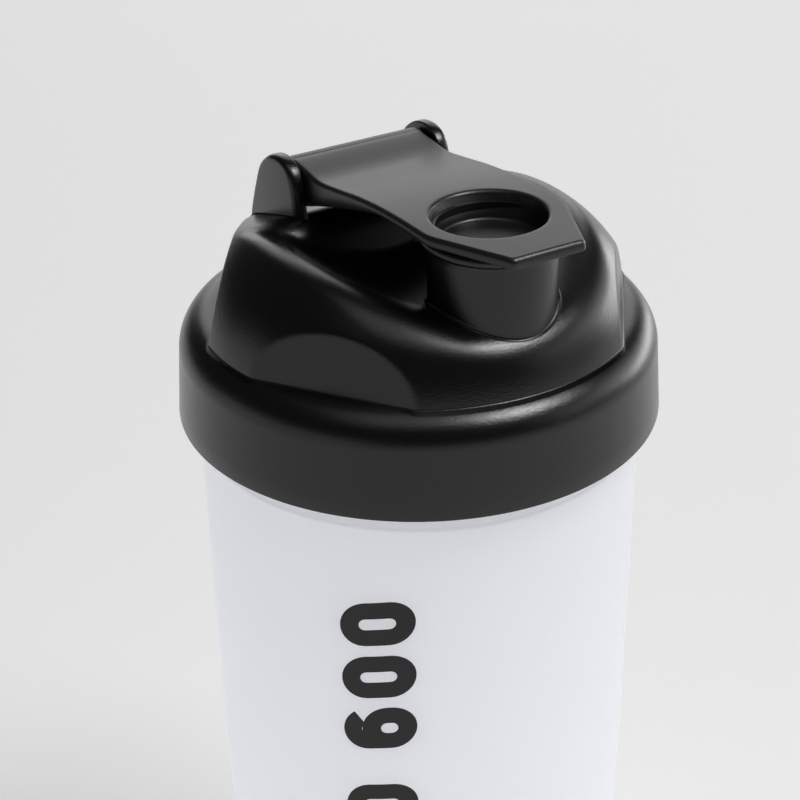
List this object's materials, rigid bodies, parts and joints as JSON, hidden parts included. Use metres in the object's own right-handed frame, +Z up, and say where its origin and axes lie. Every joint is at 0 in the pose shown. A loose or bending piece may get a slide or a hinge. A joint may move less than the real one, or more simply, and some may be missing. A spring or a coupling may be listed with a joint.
{
  "type": "protein shaker bottle",
  "caption": "Protein shaker: translucent cup with a threaded neck, black screw cap with a round spout, and a flip lever whose hollow plug closes the spout.",
  "frame": {"origin": "centre of the base, on the surface it stands on", "axes": "+Z up along the cup's axis, -Y towards the spout and the lever's tip, X along the hinge axis"},
  "size_m": [0.1, 0.1, 0.2141],
  "materials": {
    "translucent_plastic": "moulded, milky translucent, soft gloss",
    "black_plastic": "moulded, satin, very fine texture",
    "lever_plastic": "moulded, smooth satin",
    "silicone": "matte silicone",
    "white_plastic": "moulded, plain"
  },
  "bodies": {
    "cup": {"cup": "translucent_plastic"},
    "sleeve": {"cap_gasket": "silicone", "mixing_grid": "white_plastic"},
    "cap": {"screw_cap": "black_plastic", "cap_spout": "black_plastic"},
    "lever": {"flip_lever": "lever_plastic"}
  },
  "joints": [
    {"name": "cap_rise", "type": "slide", "parent": "cup", "child": "sleeve", "axis": [0, 0, 1], "range_m": [0, 0.0075]},
    {"name": "cap_turn", "type": "hinge", "parent": "sleeve", "child": "cap", "pos_m": [0, 0, 0.163], "axis": [0, 0, 1], "range_deg": [0, 450]},
    {"name": "lever_flip", "type": "hinge", "parent": "cap", "child": "lever", "pos_m": [0, 0.0243, 0.2062], "axis": [-1, 0, 0], "range_deg": [0, 150]}
  ],
  "couplings": [
    {"joint": "cap_rise", "follows": "cap_turn", "m_per_rad": 0.00095493}
  ]
}
